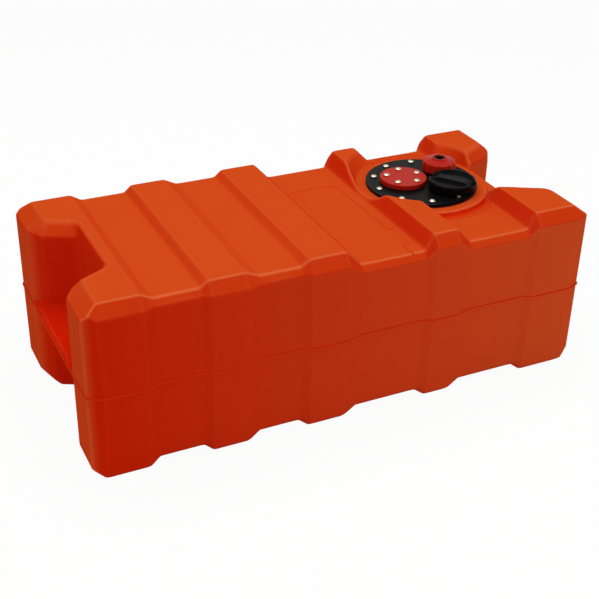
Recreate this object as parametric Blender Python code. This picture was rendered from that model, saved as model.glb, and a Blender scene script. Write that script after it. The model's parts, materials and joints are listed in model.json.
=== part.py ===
"""Moulded plastic fuel tank with five raised bands and a bolted fittings flange.

Metres, +Z up. +X runs along the tank towards the fittings, and the origin is the
centre of the tank's footprint, on the ground that its feet stand on.
"""
import math

import bmesh
import bpy

# Tank, outside
TANK_LENGTH = 0.800
TANK_WIDTH = 0.3664
TANK_HEIGHT = 0.2762
PARTING_HEIGHT = 0.138
SIDE_DRAFT = 0.0022
TOP_CHAMFER_IN = 0.0158
TOP_CHAMFER_DOWN = 0.0184
FOOT_CHAMFER = 0.0085
END_CHAMFER_IN = 0.024
END_CHAMFER_DOWN = 0.0182
END_FOOT_RISE = 0.020
END_EDGE_SOFTENING = 0.003
CORNER_FACET_ACROSS = 0.0115

# Recesses between the bands
SHALLOW_DEPTH = 0.010
DEEP_DEPTH = 0.0263
RECESS_SIDE_DEPTH = 0.0078
RECESS_FOOT_RISE = 0.0075
RECESS_CHAMFER = 0.0092
BAND_START_SHARES = (0.2250, 0.4125, 0.6605, 0.8825)
BAND_END_SHARES = (0.1062, 0.2925, 0.4835, 0.7100)
RECESS_START_SHARES = (0.1262, 0.3175, 0.5138, 0.7405)
RECESS_END_SHARES = (0.2112, 0.3975, 0.6450, 0.8690)
RECESS_DEPTHS = (SHALLOW_DEPTH, SHALLOW_DEPTH, DEEP_DEPTH, DEEP_DEPTH)

# Hand grips in both ends, above and below a web
GRIP_MOUTH_HALF = 0.106
GRIP_MIDDLE_HALF = 0.080
GRIP_BACK_HALF = 0.056
GRIP_MIDDLE_DEPTH = 0.017
GRIP_DEPTH = 0.065
GRIP_CHAMFER_ACROSS = 0.017
GRIP_CHAMFER_DEEPER = 0.004
WEB_THICKNESS = 0.009
WEB_FILLET_ALONG = 0.015
WEB_FILLET_UP = 0.018
WALL = 0.0055

# Flange seat on the tank
FLANGE_CENTRE_FROM_END = 0.6239
FLANGE_CENTRE_ACROSS = 0.0334
BOSS_RADIUS = 0.1034
BOSS_BELOW_TOP = 0.0227
BOSS_SKIRT = 0.060
POCKET_CLEARANCE = 0.0012
POCKET_FAR_LEAN = 0.030
SEAT_THICKNESS = 0.0175
OPENING_RADIUS = 0.0683

# Flange, its gasket and its screws
GAP = 0.0003
GASKET_THICKNESS = 0.0014
FLANGE_RADIUS = 0.0892
FLANGE_THICKNESS = 0.0036
SCREW_COUNT = 10
SCREW_CIRCLE_RADIUS = 0.0768
FIRST_SCREW_ANGLE = math.radians(0.5)
SCREW_RADIUS = 0.002
SCREW_LENGTH = 0.0165
SCREW_HEAD_RADIUS = 0.0047
SCREW_HEAD_HEIGHT = 0.0031
SCREW_CROWN_RADIUS = 0.0032
SCREW_HOLE_RADIUS = 0.0029
INSERT_RADIUS = 0.0043
INSERT_LENGTH = 0.0142
INSERT_FLOOR = 0.002

# Blanked level sender port
PORT_OFFSET_ALONG = -0.0264
PORT_OFFSET_ACROSS = 0.0126
PORT_RADIUS = 0.0195
PORT_SEAT_RADIUS = 0.0342
PORT_SEAT_HEIGHT = 0.0020
PORT_GASKET_THICKNESS = 0.0015
COVER_RADIUS = 0.0377
COVER_THICKNESS = 0.0038
COVER_SKIRT_LIFT = 0.0006
COVER_CHAMFER = 0.0008
PORT_SCREW_COUNT = 5
PORT_SCREW_CIRCLE_RADIUS = 0.0268
FIRST_PORT_SCREW_ANGLE = math.radians(6.0)
PORT_BOSS_WALL = 0.0014
PORT_INSERT_LENGTH = 0.010
PORT_SCREW_LENGTH = 0.0125

# Filler neck and cap
FILLER_OFFSET_ALONG = 0.0316
FILLER_OFFSET_ACROSS = -0.0414
NECK_RADIUS = 0.0240
NECK_BORE_RADIUS = 0.0156
NECK_HEIGHT = 0.0075
CAP_RADIUS = 0.0374
CAP_SKIRT_CLEARANCE = 0.0008
CAP_NECK_CLEARANCE = 0.0005
CAP_HEIGHT = 0.0128
CAP_EDGE_CHAMFER = 0.0022
CAP_ROOF = 0.0024
GRIP_BAR_WIDTH = 0.0135
GRIP_BAR_ANGLE = math.radians(-54.0)
SCOOP_RADIUS = 0.0315
SCOOP_FLOOR_RADIUS = 0.0265
CAP_SEAL_THICKNESS = 0.0018
CAP_DISC_RADIUS = 0.0150
CAP_DISC_THICKNESS = 0.0014
VENT_STEM_RADIUS = 0.0022
VENT_HEAD_RADIUS = 0.0062
VENT_HEAD_THICKNESS = 0.0012

# Fuel outlet with its ring nut and dip tube
OUTLET_OFFSET_ALONG = 0.0461
OUTLET_OFFSET_ACROSS = 0.0231
STUB_RADIUS = 0.0194
STUB_BORE_RADIUS = 0.0140
STUB_HEIGHT = 0.0095
OUTLET_BODY_SHANK_RADIUS = 0.0136
OUTLET_SHOULDER_RADIUS = 0.0188
OUTLET_SHOULDER_THICKNESS = 0.0028
OUTLET_SEAL_THICKNESS = 0.0018
OUTLET_HEAD_RADIUS = 0.0088
OUTLET_BORE_RADIUS = 0.0058
OUTLET_SHANK_DEPTH = 0.0150
SLIP_WASHER_THICKNESS = 0.0012
NUT_RADIUS = 0.0270
NUT_RIB_COUNT = 12
NUT_RIB_DEPTH = 0.0013
NUT_THREAD_CLEARANCE = 0.0005
NUT_RIM_THICKNESS = 0.0030
NUT_CONE_RISE = 0.0020
NUT_COLLAR_RADIUS = 0.0132
NUT_COLLAR_HEIGHT = 0.0036
NUT_EDGE_CHAMFER = 0.0012
DIP_TUBE_RADIUS = 0.0042
DIP_TUBE_WALL = 0.0010
DIP_TUBE_SOCKET = 0.0090
STRAINER_RADIUS = 0.0095
STRAINER_HEIGHT = 0.0240
STRAINER_WALL = 0.0014
STRAINER_FLOOR_CLEARANCE = 0.0050
STRAINER_SLOT_COUNT = 6
STRAINER_SLOT_WIDTH = 0.0045
SCREEN_THICKNESS = 0.0008

# How round things are faceted, and how far cutters run past what they cut
WIDE_FACETS = 64
MIDDLE_FACETS = 40
SMALL_FACETS = 20
TINY_FACETS = 12
OVERRUN = 0.020

HALF_LENGTH = TANK_LENGTH / 2
HALF_WIDTH = TANK_WIDTH / 2
FLANGE_X = FLANGE_CENTRE_FROM_END - HALF_LENGTH
FLANGE_Y = FLANGE_CENTRE_ACROSS
PORT_XY = (FLANGE_X + PORT_OFFSET_ALONG, FLANGE_Y + PORT_OFFSET_ACROSS)
FILLER_XY = (FLANGE_X + FILLER_OFFSET_ALONG, FLANGE_Y + FILLER_OFFSET_ACROSS)
OUTLET_XY = (FLANGE_X + OUTLET_OFFSET_ALONG, FLANGE_Y + OUTLET_OFFSET_ACROSS)
BOSS_TOP = TANK_HEIGHT - BOSS_BELOW_TOP
GASKET_BASE = BOSS_TOP + GAP
FLANGE_BASE = GASKET_BASE + GASKET_THICKNESS + GAP
FLANGE_TOP = FLANGE_BASE + FLANGE_THICKNESS
HEAD_BASE = FLANGE_TOP + GAP
SKIRT_BASE = HEAD_BASE + SCREW_HEAD_HEIGHT + CAP_SKIRT_CLEARANCE


def clear_objects():
    for item in list(bpy.data.objects):
        bpy.data.objects.remove(item, do_unlink=True)


def plastic(name, colour, roughness, metallic=0.0):
    material = bpy.data.materials.new(name)
    material.use_nodes = True
    shader = material.node_tree.nodes["Principled BSDF"]
    shader.inputs["Base Color"].default_value = (*colour, 1.0)
    shader.inputs["Roughness"].default_value = roughness
    shader.inputs["Metallic"].default_value = metallic
    return material


def add_object(name, vertices, faces, material=None, smooth=False):
    """A mesh object from points and faces, with its faces turned outwards."""
    mesh = bpy.data.meshes.new(name)
    mesh.from_pydata(vertices, [], faces)
    shape = bmesh.new()
    shape.from_mesh(mesh)
    bmesh.ops.recalc_face_normals(shape, faces=shape.faces)
    shape.to_mesh(mesh)
    shape.free()
    if smooth:
        mesh.shade_smooth()
        mesh.set_sharp_from_angle(angle=math.radians(35.0))
    item = bpy.data.objects.new(name, mesh)
    bpy.context.scene.collection.objects.link(item)
    if material:
        mesh.materials.append(material)
    return item


def loft(rings):
    """Points and faces of a solid through closed rings with equal counts."""
    count = len(rings[0])
    vertices = [point for ring in rings for point in ring]
    faces = [tuple(reversed(range(count)))]
    for ring in range(len(rings) - 1):
        low = ring * count
        for side in range(count):
            after = (side + 1) % count
            faces.append((low + side, low + after, low + count + after, low + count + side))
    last = (len(rings) - 1) * count
    faces.append(tuple(range(last, last + count)))
    return vertices, faces


def circle(radius, height, facets, centre=(0.0, 0.0)):
    step = 2 * math.pi / facets
    return [(centre[0] + radius * math.cos(step * n), centre[1] + radius * math.sin(step * n), height)
            for n in range(facets)]


def turned(profile, facets, centre=(0.0, 0.0)):
    """Points and faces of a turned solid. The profile is (radius, height) pairs
    round its closed section, which may touch the axis at its two ends."""
    vertices = []
    spans = []
    for radius, height in profile:
        start = len(vertices)
        if radius > 0:
            vertices += circle(radius, height, facets, centre)
            spans.append((start, facets))
        else:
            vertices.append((centre[0], centre[1], height))
            spans.append((start, 1))
    faces = []
    pairs = list(zip(spans, spans[1:]))
    if all(radius > 0 for radius, _ in profile):
        pairs.append((spans[-1], spans[0]))
    for (low, low_count), (high, high_count) in pairs:
        for side in range(facets):
            after = (side + 1) % facets
            if low_count == 1:
                faces.append((low, high + side, high + after))
            elif high_count == 1:
                faces.append((low + side, low + after, high))
            else:
                faces.append((low + side, low + after, high + after, high + side))
    return vertices, faces


def merged(shapes):
    """Several separate shapes as one list of points and faces."""
    vertices = []
    faces = []
    for shape_vertices, shape_faces in shapes:
        start = len(vertices)
        vertices += shape_vertices
        faces += [tuple(start + index for index in face) for face in shape_faces]
    return vertices, faces


def rod(radius, low, high, facets, centre):
    return loft([circle(radius, low, facets, centre), circle(radius, high, facets, centre)])


def combine(target, shape, operation):
    """Cut, keep or add a helper shape, which itself stays out of the model."""
    helper = add_object(target.name + "_" + operation.lower(), *shape)
    helper.hide_render = True
    helper.display_type = 'WIRE'
    modifier = target.modifiers.new(operation.title(), 'BOOLEAN')
    modifier.operation = operation
    modifier.solver = 'EXACT'
    modifier.object = helper
    return helper


def ring_of_places(count, radius, first_angle, centre):
    step = 2 * math.pi / count
    return [(centre[0] + radius * math.cos(first_angle + step * n),
             centre[1] + radius * math.sin(first_angle + step * n)) for n in range(count)]


def section(along, depth_top, depth_side, depth_foot, chamfer_in, chamfer_down, inset):
    """One closed section of the tank across X, drawn in by a wall thickness."""
    side = HALF_WIDTH - depth_side - inset
    top = TANK_HEIGHT - depth_top - inset
    foot = depth_foot + inset
    half = [
        (side - SIDE_DRAFT - FOOT_CHAMFER, foot),
        (side - SIDE_DRAFT, foot + FOOT_CHAMFER),
        (side, PARTING_HEIGHT),
        (side - SIDE_DRAFT, top - chamfer_down),
        (side - SIDE_DRAFT - chamfer_in, top),
    ]
    right = [(along, across, height) for across, height in half]
    left = [(along, -across, height) for across, height in reversed(half)]
    return right + left


def end_section(along, inset):
    """The flat end of the tank, inside its corner facets and end chamfers."""
    side = HALF_WIDTH - CORNER_FACET_ACROSS - inset
    top = TANK_HEIGHT - END_CHAMFER_DOWN - inset
    foot = END_FOOT_RISE + inset
    soft = END_EDGE_SOFTENING
    half = [(side - soft, foot), (side, foot + soft), (side, PARTING_HEIGHT),
            (side, top - soft), (side - soft, top)]
    right = [(along, across, height) for across, height in half]
    left = [(along, -across, height) for across, height in reversed(half)]
    return right + left


def tank_rings(inset):
    """Sections along the tank, from one end to the other."""
    shoulder = HALF_LENGTH - END_CHAMFER_IN - inset / 2
    places = [(-shoulder, None), (shoulder, None)]
    for share in BAND_START_SHARES + BAND_END_SHARES:
        places.append((share * TANK_LENGTH - HALF_LENGTH, None))
    for start, end, depth in zip(RECESS_START_SHARES, RECESS_END_SHARES, RECESS_DEPTHS):
        places += [(start * TANK_LENGTH - HALF_LENGTH, depth), (end * TANK_LENGTH - HALF_LENGTH, depth)]
    rings = [end_section(inset - HALF_LENGTH, inset)]
    for along, depth in sorted(places, key=lambda place: place[0]):
        if depth is None:
            rings.append(section(along, 0.0, 0.0, 0.0, TOP_CHAMFER_IN, TOP_CHAMFER_DOWN, inset))
        else:
            rings.append(section(along, depth, RECESS_SIDE_DEPTH, RECESS_FOOT_RISE,
                                 RECESS_CHAMFER, RECESS_CHAMFER, inset))
    rings.append(end_section(HALF_LENGTH - inset, inset))
    return rings


def grip_outline(end, height, wider, deeper, thicker=0.0):
    """Plan of a hand grip: a flared mouth that narrows to a straight back."""
    half = [(-OVERRUN, GRIP_MOUTH_HALF + wider + thicker),
            (0.0, GRIP_MOUTH_HALF + wider + thicker),
            (GRIP_MIDDLE_DEPTH + thicker, GRIP_MIDDLE_HALF + wider + thicker),
            (GRIP_DEPTH + deeper + thicker, GRIP_BACK_HALF + wider + thicker)]
    points = half + [(depth, -across) for depth, across in reversed(half)]
    return [(end * (HALF_LENGTH - depth), across, height) for depth, across in points]


def grip_cutters():
    cutters = []
    web_top = PARTING_HEIGHT + WEB_THICKNESS / 2
    web_foot = PARTING_HEIGHT - WEB_THICKNESS / 2
    chamfer_foot = TANK_HEIGHT - TOP_CHAMFER_DOWN
    past = (TANK_HEIGHT + OVERRUN - chamfer_foot) / TOP_CHAMFER_DOWN
    for end in (-1, 1):
        cutters.append(loft([
            grip_outline(end, web_top, 0.0, -WEB_FILLET_ALONG),
            grip_outline(end, web_top + WEB_FILLET_UP, 0.0, 0.0),
            grip_outline(end, chamfer_foot, 0.0, 0.0),
            grip_outline(end, TANK_HEIGHT + OVERRUN, GRIP_CHAMFER_ACROSS * past,
                         GRIP_CHAMFER_DEEPER * past),
        ]))
        cutters.append(loft([
            grip_outline(end, -OVERRUN, 0.0, 0.0),
            grip_outline(end, web_foot - WEB_FILLET_UP, 0.0, 0.0),
            grip_outline(end, web_foot, 0.0, -WEB_FILLET_ALONG),
        ]))
    return merged(cutters)


def saddle_cutter(thicker):
    """Cut between the fittings end's prongs, which carries the last recess's floor
    back to the grip. Its sides go on beside the grip's own, a gap further in so
    that no two faces share a plane."""
    taper = (GRIP_MIDDLE_HALF - GRIP_BACK_HALF) / (GRIP_DEPTH - GRIP_MIDDLE_DEPTH)
    back = TANK_LENGTH * (1 - RECESS_END_SHARES[-1]) + RECESS_CHAMFER
    front = (GRIP_MIDDLE_DEPTH + GRIP_DEPTH) / 2
    front_half = (GRIP_MIDDLE_HALF + GRIP_BACK_HALF) / 2 - GAP
    back_half = front_half - taper * (back - front)
    chamfer_foot = TANK_HEIGHT - TOP_CHAMFER_DOWN
    past = (TANK_HEIGHT + OVERRUN - chamfer_foot) / TOP_CHAMFER_DOWN

    def outline(height, wider):
        half = [(front, front_half + wider), (back, back_half + wider)]
        points = half + [(depth, -across) for depth, across in reversed(half)]
        return [(HALF_LENGTH - depth, across, height) for depth, across in points]

    return loft([outline(TANK_HEIGHT - DEEP_DEPTH + GAP - thicker, thicker),
                 outline(chamfer_foot, thicker),
                 outline(TANK_HEIGHT + OVERRUN, GRIP_CHAMFER_ACROSS * past + thicker)])


def pocket_cutter(radius, foot):
    """Round pocket down to the flange seat. Its wall is upright on the near side, and
    leans away from the seat as it comes round to the far side."""

    def outline(height, lean):
        points = []
        for n in range(WIDE_FACETS):
            angle = 2 * math.pi * n / WIDE_FACETS
            reach = radius + lean * max(0.0, math.sin(angle))
            points.append((FLANGE_X + reach * math.cos(angle), FLANGE_Y + reach * math.sin(angle),
                           height))
        return points

    top = TANK_HEIGHT + OVERRUN
    return loft([outline(foot, 0.0), outline(BOSS_TOP, 0.0),
                 outline(top, POCKET_FAR_LEAN * (top - BOSS_TOP) / BOSS_BELOW_TOP)])


def make_tank(orange):
    """Hollow tank: the outer form, less the inner space, less the opening."""
    tank = add_object("tank_shell", *loft(tank_rings(0.0)), orange)
    flange = (FLANGE_X, FLANGE_Y)
    pocket_radius = BOSS_RADIUS + POCKET_CLEARANCE / 2
    boss_radius = BOSS_RADIUS + POCKET_CLEARANCE
    pocket_floor = BOSS_TOP - SEAT_THICKNESS / 2
    combine(tank, pocket_cutter(pocket_radius, pocket_floor), 'DIFFERENCE')
    combine(tank, saddle_cutter(0.0), 'DIFFERENCE')
    combine(tank, rod(boss_radius, BOSS_TOP - BOSS_SKIRT, BOSS_TOP, WIDE_FACETS, flange), 'UNION')
    combine(tank, grip_cutters(), 'DIFFERENCE')

    space = add_object("fuel_space", *loft(tank_rings(WALL)))
    space.hide_render = True
    space.display_type = 'WIRE'
    keep_out = [loft([grip_outline(end, -OVERRUN, 0.0, 0.0, WALL),
                      grip_outline(end, TANK_HEIGHT - TOP_CHAMFER_DOWN, 0.0, 0.0, WALL),
                      grip_outline(end, TANK_HEIGHT, GRIP_CHAMFER_ACROSS, GRIP_CHAMFER_DEEPER, WALL)])
                for end in (-1, 1)]
    combine(space, merged(keep_out), 'DIFFERENCE')
    combine(space, saddle_cutter(WALL), 'DIFFERENCE')
    combine(space, pocket_cutter(boss_radius + WALL, BOSS_TOP - SEAT_THICKNESS), 'DIFFERENCE')
    hollow = tank.modifiers.new("Hollow", 'BOOLEAN')
    hollow.operation = 'DIFFERENCE'
    hollow.solver = 'EXACT'
    hollow.object = space

    holes = [rod(OPENING_RADIUS, BOSS_TOP - BOSS_SKIRT, BOSS_TOP + OVERRUN, WIDE_FACETS, flange)]
    for place in ring_of_places(SCREW_COUNT, SCREW_CIRCLE_RADIUS, FIRST_SCREW_ANGLE, flange):
        holes.append(rod(INSERT_RADIUS + GAP, BOSS_TOP - GAP - INSERT_LENGTH - GAP,
                         BOSS_TOP + OVERRUN, TINY_FACETS, place))
    combine(tank, merged(holes), 'DIFFERENCE')
    return tank


def set_copies(name, shape, places, height, material):
    """One object at each place. They share a mesh whose origin is on the piece's axis."""
    first = add_object(name + "_1", *shape, material, smooth=True)
    copies = [first]
    for number in range(1, len(places)):
        copy = bpy.data.objects.new(name + "_" + str(number + 1), first.data)
        bpy.context.scene.collection.objects.link(copy)
        copies.append(copy)
    for copy, (x, y) in zip(copies, places):
        copy.location = (x, y, height)


def insert_shape(length):
    """Threaded insert: a cup that is open at its top, which is at height zero."""
    bore = SCREW_RADIUS + GAP
    return turned([(0.0, -length), (INSERT_RADIUS, -length), (INSERT_RADIUS, 0.0), (bore, 0.0),
                   (bore, INSERT_FLOOR - length), (0.0, INSERT_FLOOR - length)], TINY_FACETS)


def screw_shape(length):
    """Pan head screw: a domed head that sits at height zero, on a plain shank."""
    return turned([(0.0, -length), (SCREW_RADIUS, -length), (SCREW_RADIUS, 0.0),
                   (SCREW_HEAD_RADIUS, 0.0), (SCREW_HEAD_RADIUS, SCREW_HEAD_HEIGHT / 2),
                   (SCREW_CROWN_RADIUS, SCREW_HEAD_HEIGHT), (0.0, SCREW_HEAD_HEIGHT)], TINY_FACETS)


def make_flange_fixings(brass, steel, rubber):
    flange = (FLANGE_X, FLANGE_Y)
    places = ring_of_places(SCREW_COUNT, SCREW_CIRCLE_RADIUS, FIRST_SCREW_ANGLE, flange)
    set_copies("flange_insert", insert_shape(INSERT_LENGTH), places, BOSS_TOP - GAP, brass)
    set_copies("flange_screw", screw_shape(SCREW_LENGTH), places, HEAD_BASE, steel)
    gasket = add_object("flange_gasket", *turned([
        (OPENING_RADIUS, GASKET_BASE), (FLANGE_RADIUS, GASKET_BASE),
        (FLANGE_RADIUS, GASKET_BASE + GASKET_THICKNESS),
        (OPENING_RADIUS, GASKET_BASE + GASKET_THICKNESS)], WIDE_FACETS, flange), rubber)
    combine(gasket, merged([rod(SCREW_HOLE_RADIUS, GASKET_BASE - OVERRUN, GASKET_BASE + OVERRUN,
                                TINY_FACETS, place) for place in places]), 'DIFFERENCE')


def make_flange_plate(black):
    """Flange with the port seat, the filler neck and the outlet stub moulded on."""
    flange = (FLANGE_X, FLANGE_Y)
    plate = add_object("flange_plate", *rod(FLANGE_RADIUS, FLANGE_BASE, FLANGE_TOP, WIDE_FACETS,
                                            flange), black, smooth=True)
    middle = FLANGE_TOP - FLANGE_THICKNESS / 2
    port_places = ring_of_places(PORT_SCREW_COUNT, PORT_SCREW_CIRCLE_RADIUS,
                                 FIRST_PORT_SCREW_ANGLE, PORT_XY)
    insert_top = FLANGE_TOP + PORT_SEAT_HEIGHT - GAP
    boss_foot = insert_top - PORT_INSERT_LENGTH - GAP - PORT_BOSS_WALL
    combine(plate, rod(PORT_SEAT_RADIUS, middle, FLANGE_TOP + PORT_SEAT_HEIGHT, MIDDLE_FACETS,
                       PORT_XY), 'UNION')
    combine(plate, rod(NECK_RADIUS, middle, FLANGE_TOP + NECK_HEIGHT, MIDDLE_FACETS, FILLER_XY),
            'UNION')
    combine(plate, rod(STUB_RADIUS, middle, FLANGE_TOP + STUB_HEIGHT, MIDDLE_FACETS, OUTLET_XY),
            'UNION')
    combine(plate, merged([rod(INSERT_RADIUS + GAP + PORT_BOSS_WALL, boss_foot, middle,
                               TINY_FACETS, place) for place in port_places]), 'UNION')
    bores = [rod(PORT_RADIUS, FLANGE_BASE - OVERRUN, FLANGE_TOP + OVERRUN, MIDDLE_FACETS, PORT_XY),
             rod(NECK_BORE_RADIUS, FLANGE_BASE - OVERRUN, FLANGE_TOP + OVERRUN, MIDDLE_FACETS,
                 FILLER_XY),
             rod(STUB_BORE_RADIUS, FLANGE_BASE - OVERRUN, FLANGE_TOP + OVERRUN, MIDDLE_FACETS,
                 OUTLET_XY)]
    for place in ring_of_places(SCREW_COUNT, SCREW_CIRCLE_RADIUS, FIRST_SCREW_ANGLE, flange):
        bores.append(rod(SCREW_HOLE_RADIUS, FLANGE_BASE - OVERRUN, FLANGE_TOP + OVERRUN,
                         TINY_FACETS, place))
    for place in port_places:
        bores.append(rod(INSERT_RADIUS + GAP, insert_top - PORT_INSERT_LENGTH - GAP,
                         FLANGE_TOP + OVERRUN, TINY_FACETS, place))
    combine(plate, merged(bores), 'DIFFERENCE')


def make_port_cover(red, rubber, brass, steel):
    """Blanking cover over the sender port: gasket, cover, screws and inserts."""
    places = ring_of_places(PORT_SCREW_COUNT, PORT_SCREW_CIRCLE_RADIUS, FIRST_PORT_SCREW_ANGLE,
                            PORT_XY)
    seat = FLANGE_TOP + PORT_SEAT_HEIGHT
    set_copies("port_insert", insert_shape(PORT_INSERT_LENGTH), places, seat - GAP, brass)
    gasket_base = seat + GAP
    cover_base = gasket_base + PORT_GASKET_THICKNESS + GAP
    gasket = add_object("port_gasket", *turned([
        (PORT_RADIUS, gasket_base), (PORT_SEAT_RADIUS, gasket_base),
        (PORT_SEAT_RADIUS, gasket_base + PORT_GASKET_THICKNESS),
        (PORT_RADIUS, gasket_base + PORT_GASKET_THICKNESS)], MIDDLE_FACETS, PORT_XY), rubber)
    holes = merged([rod(SCREW_HOLE_RADIUS, gasket_base - OVERRUN, cover_base + OVERRUN,
                        TINY_FACETS, place) for place in places])
    combine(gasket, holes, 'DIFFERENCE')
    cover_top = cover_base + COVER_THICKNESS
    skirt = PORT_SEAT_RADIUS + GAP
    cover = add_object("port_cover", *turned([
        (0.0, cover_base), (skirt, cover_base), (skirt, FLANGE_TOP + COVER_SKIRT_LIFT),
        (COVER_RADIUS, FLANGE_TOP + COVER_SKIRT_LIFT), (COVER_RADIUS, cover_top - COVER_CHAMFER),
        (COVER_RADIUS - COVER_CHAMFER, cover_top), (0.0, cover_top)], WIDE_FACETS, PORT_XY),
        red, smooth=True)
    combine(cover, holes, 'DIFFERENCE')
    set_copies("port_screw", screw_shape(PORT_SCREW_LENGTH), places, cover_top + GAP, steel)


def make_filler_cap(black, rubber, nylon):
    """Screw cap with a grip bar, its face seal, its inner disc and its vent valve."""
    neck_top = FLANGE_TOP + NECK_HEIGHT
    roof = neck_top + GAP + CAP_SEAL_THICKNESS + GAP
    top = SKIRT_BASE + CAP_HEIGHT
    inside = NECK_RADIUS + CAP_NECK_CLEARANCE
    cap = add_object("filler_cap", *turned([
        (0.0, roof), (inside, roof), (inside, SKIRT_BASE), (CAP_RADIUS, SKIRT_BASE),
        (CAP_RADIUS, top - CAP_EDGE_CHAMFER), (CAP_RADIUS - CAP_EDGE_CHAMFER, top),
        (0.0, top)], WIDE_FACETS, FILLER_XY), black, smooth=True)
    scoop = add_object("finger_scoop", *loft([
        circle(SCOOP_FLOOR_RADIUS, roof + CAP_ROOF, MIDDLE_FACETS, FILLER_XY),
        circle(SCOOP_RADIUS, top + GAP, MIDDLE_FACETS, FILLER_XY)]))
    scoop.hide_render = True
    scoop.display_type = 'WIRE'
    ux, uy = math.cos(GRIP_BAR_ANGLE), math.sin(GRIP_BAR_ANGLE)
    corners = [(along * CAP_RADIUS, across * GRIP_BAR_WIDTH / 2)
               for along, across in ((-1, -1), (1, -1), (1, 1), (-1, 1))]
    outline = [(FILLER_XY[0] + along * ux - across * uy, FILLER_XY[1] + along * uy + across * ux)
               for along, across in corners]
    combine(scoop, loft([[(x, y, roof) for x, y in outline],
                         [(x, y, top + OVERRUN) for x, y in outline]]), 'DIFFERENCE')
    cut = cap.modifiers.new("Scoops", 'BOOLEAN')
    cut.operation = 'DIFFERENCE'
    cut.solver = 'EXACT'
    cut.object = scoop
    stem = VENT_STEM_RADIUS + GAP
    combine(cap, rod(stem, roof - OVERRUN, roof + CAP_ROOF, TINY_FACETS, FILLER_XY), 'DIFFERENCE')

    seal_base = neck_top + GAP
    add_object("filler_cap_seal", *turned([
        (NECK_BORE_RADIUS, seal_base), (NECK_RADIUS, seal_base),
        (NECK_RADIUS, seal_base + CAP_SEAL_THICKNESS),
        (NECK_BORE_RADIUS, seal_base + CAP_SEAL_THICKNESS)], MIDDLE_FACETS, FILLER_XY),
        rubber, smooth=True)
    disc_top = roof - GAP
    add_object("cap_inner_disc", *turned([
        (stem, disc_top - CAP_DISC_THICKNESS), (CAP_DISC_RADIUS, disc_top - CAP_DISC_THICKNESS),
        (CAP_DISC_RADIUS, disc_top), (stem, disc_top)], MIDDLE_FACETS, FILLER_XY), nylon, smooth=True)
    head_top = disc_top - CAP_DISC_THICKNESS - GAP
    add_object("cap_vent_valve", *turned([
        (0.0, head_top - VENT_HEAD_THICKNESS), (VENT_HEAD_RADIUS, head_top - VENT_HEAD_THICKNESS),
        (VENT_HEAD_RADIUS, head_top), (VENT_STEM_RADIUS, head_top),
        (VENT_STEM_RADIUS, roof + CAP_ROOF / 2), (0.0, roof + CAP_ROOF / 2)],
        SMALL_FACETS, FILLER_XY), rubber, smooth=True)


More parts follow.
